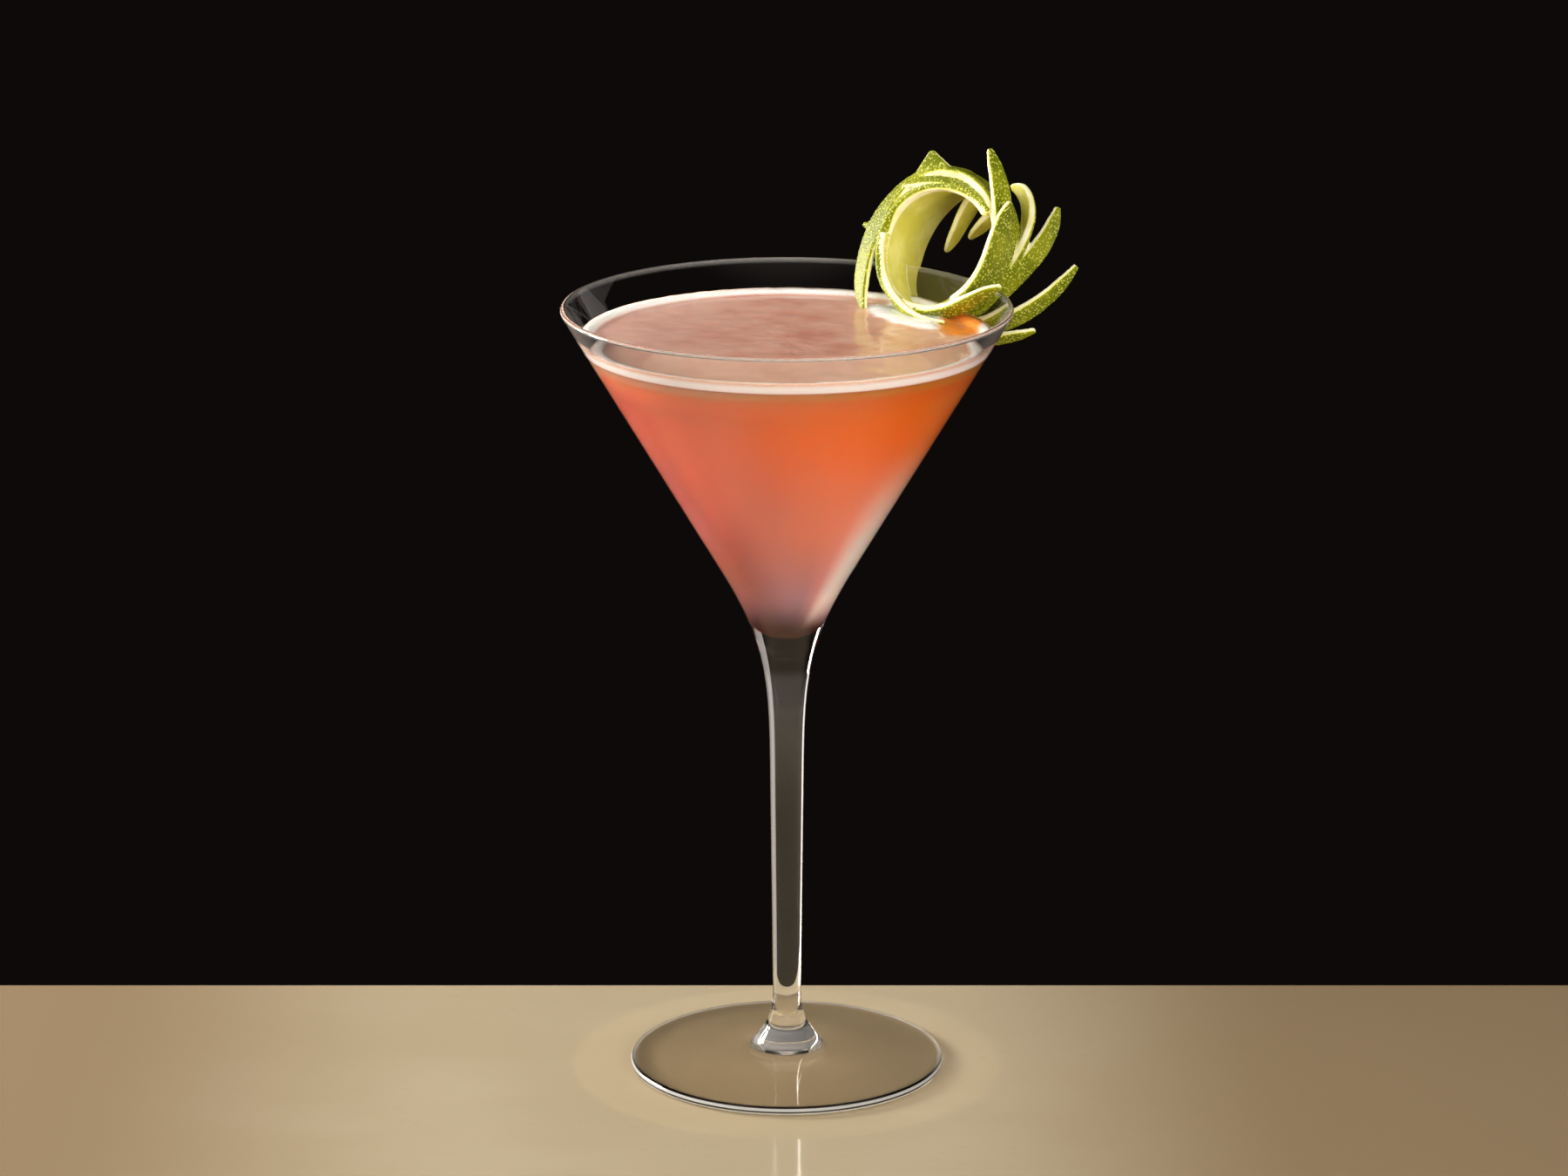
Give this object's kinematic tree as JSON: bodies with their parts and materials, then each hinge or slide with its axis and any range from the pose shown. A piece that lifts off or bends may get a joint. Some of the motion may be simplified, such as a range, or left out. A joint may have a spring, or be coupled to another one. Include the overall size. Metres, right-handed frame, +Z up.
{
  "type": "cosmopolitan cocktail",
  "caption": "Filled martini glass: an orange-pink cocktail under a thin froth, with a coil of slashed lime peel hooked over the rim.",
  "frame": {"origin": "middle of the foot's flat underside, on the glass's axis", "axes": "+Z up along the glass's axis; the lime peel hangs on the rim towards +X and +Y"},
  "size_m": [0.1201, 0.1097, 0.2145],
  "materials": {
    "glass": "clear polished glass",
    "drink": "cloudy orange-pink liquid",
    "froth": "fine beige-pink froth, white where it climbs the glass",
    "lime_peel": "pored green skin outside, cream pith inside"
  },
  "bodies": {
    "root": {"glass": "glass", "drink": "drink", "froth": "froth", "lime_twist": "lime_peel"}
  },
  "joints": []
}
